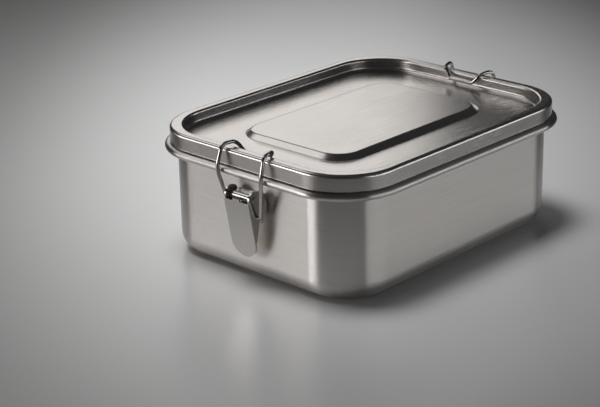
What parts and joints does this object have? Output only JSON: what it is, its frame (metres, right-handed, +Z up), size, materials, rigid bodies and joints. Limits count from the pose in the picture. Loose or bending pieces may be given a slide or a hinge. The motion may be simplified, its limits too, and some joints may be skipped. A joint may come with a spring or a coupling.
{
  "type": "lunch box",
  "caption": "Rectangular steel lunch box with a deep tub, a recessed lid with a silicone seal, and an over-centre wire latch on each end.",
  "frame": {"origin": "Centre of the bounding box in plan, on the flat base of the tub.", "axes": "+X along the long side, towards the right latch; +Y along the short side; +Z up, out of the tub's mouth."},
  "size_m": [0.173, 0.1304, 0.063],
  "materials": {
    "tub_steel": "satin brushed stainless steel, grain running round the walls",
    "lid_steel": "satin brushed stainless steel, grain along the length of the lid",
    "silicone": "translucent white food-grade silicone, matt",
    "latch_steel": "polished stamped stainless steel sheet",
    "wire_steel": "bright drawn stainless spring wire"
  },
  "bodies": {
    "tub": {"tub": "tub_steel", "bracket_left": "latch_steel", "bracket_right": "latch_steel"},
    "lid": {"lid": "lid_steel", "seal": "silicone"},
    "lever_left": {"lever_left": "latch_steel", "hinge_pin_left": "latch_steel"},
    "bail_left": {"bail_left": "wire_steel"},
    "lever_right": {"lever_right": "latch_steel", "hinge_pin_right": "latch_steel"},
    "bail_right": {"bail_right": "wire_steel"}
  },
  "joints": [
    {"name": "lid_lift", "type": "slide", "parent": "tub", "child": "lid", "axis": [0, 0, 1], "range_m": [0, 0.08]},
    {"name": "lever_left_open", "type": "hinge", "parent": "tub", "child": "lever_left", "pos_m": [-0.08205, -0.002, 0.041], "axis": [0, 1, 0], "range_deg": [0, 110]},
    {"name": "bail_left_swing", "type": "hinge", "parent": "lever_left", "child": "bail_left", "pos_m": [-0.08065, -0.002, 0.0325], "axis": [0, 1, 0], "range_deg": [-74.8, 0]},
    {"name": "lever_right_open", "type": "hinge", "parent": "tub", "child": "lever_right", "pos_m": [0.08205, 0, 0.041], "axis": [0, -1, 0], "range_deg": [0, 110]},
    {"name": "bail_right_swing", "type": "hinge", "parent": "lever_right", "child": "bail_right", "pos_m": [0.08065, 0, 0.0325], "axis": [0, -1, 0], "range_deg": [-74.8, 0]}
  ],
  "couplings": [
    {"joint": "bail_left_swing", "follows": "lever_left_open", "ratio": -0.68},
    {"joint": "bail_right_swing", "follows": "lever_right_open", "ratio": -0.68}
  ]
}
